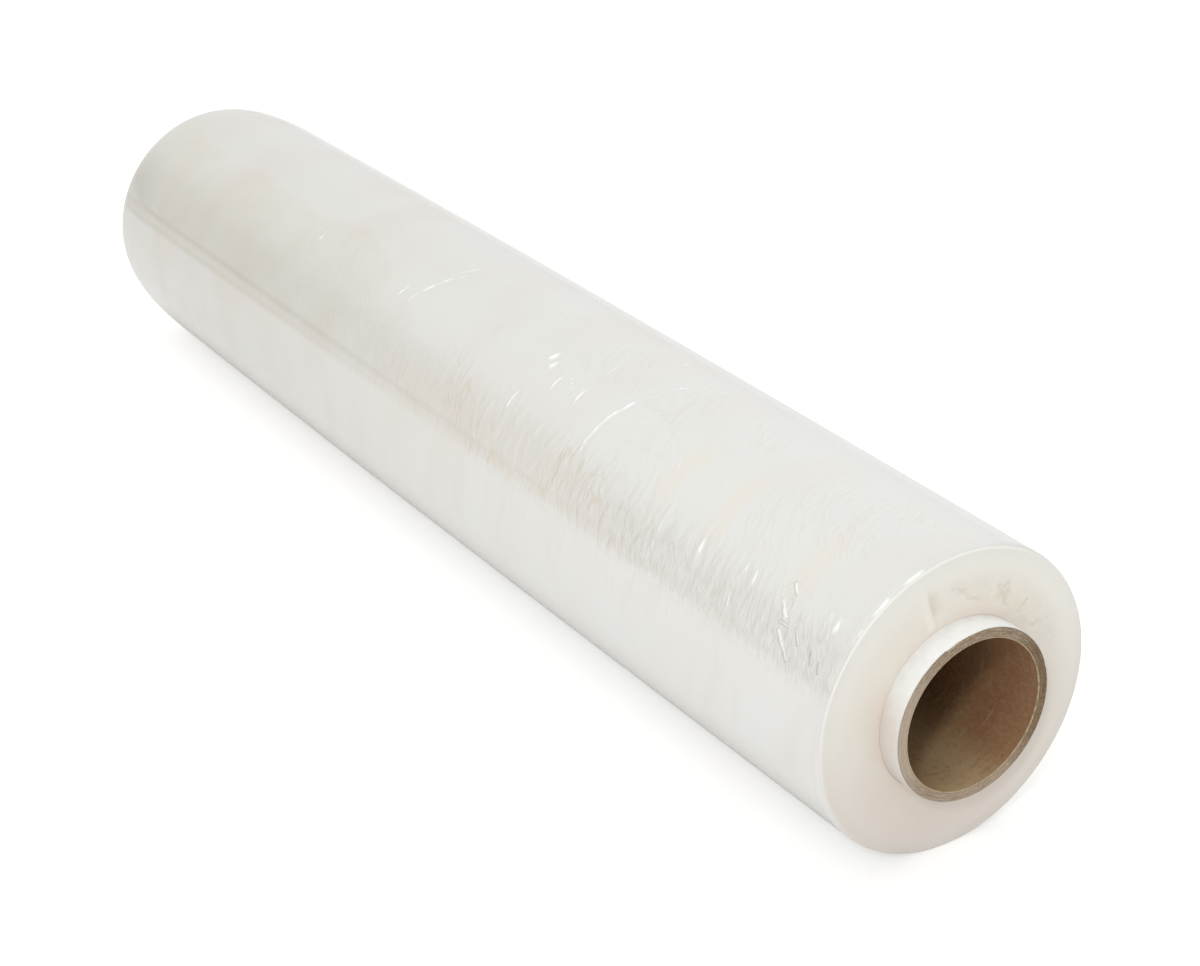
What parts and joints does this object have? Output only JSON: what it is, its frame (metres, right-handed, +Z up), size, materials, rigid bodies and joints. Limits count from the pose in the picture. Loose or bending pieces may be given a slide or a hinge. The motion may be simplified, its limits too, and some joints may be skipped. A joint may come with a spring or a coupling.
{
  "type": "stretch wrap roll",
  "caption": "Hand roll of clear stretch film wound on a faced board core that stands out at both ends, lying on its settled side, with one slumped end.",
  "frame": {"origin": "on the surface that the roll lies on, under the middle of the roll's axis", "axes": "+X along the roll's axis to its near end, +Z up, -Y to the front"},
  "size_m": [0.517, 0.1027, 0.1013],
  "materials": {
    "board": "matte",
    "facing_paper": "matte",
    "film": "glossy"
  },
  "bodies": {
    "root": {"core_tube": "board", "core_facing": "facing_paper", "film_roll": "film"}
  },
  "joints": []
}
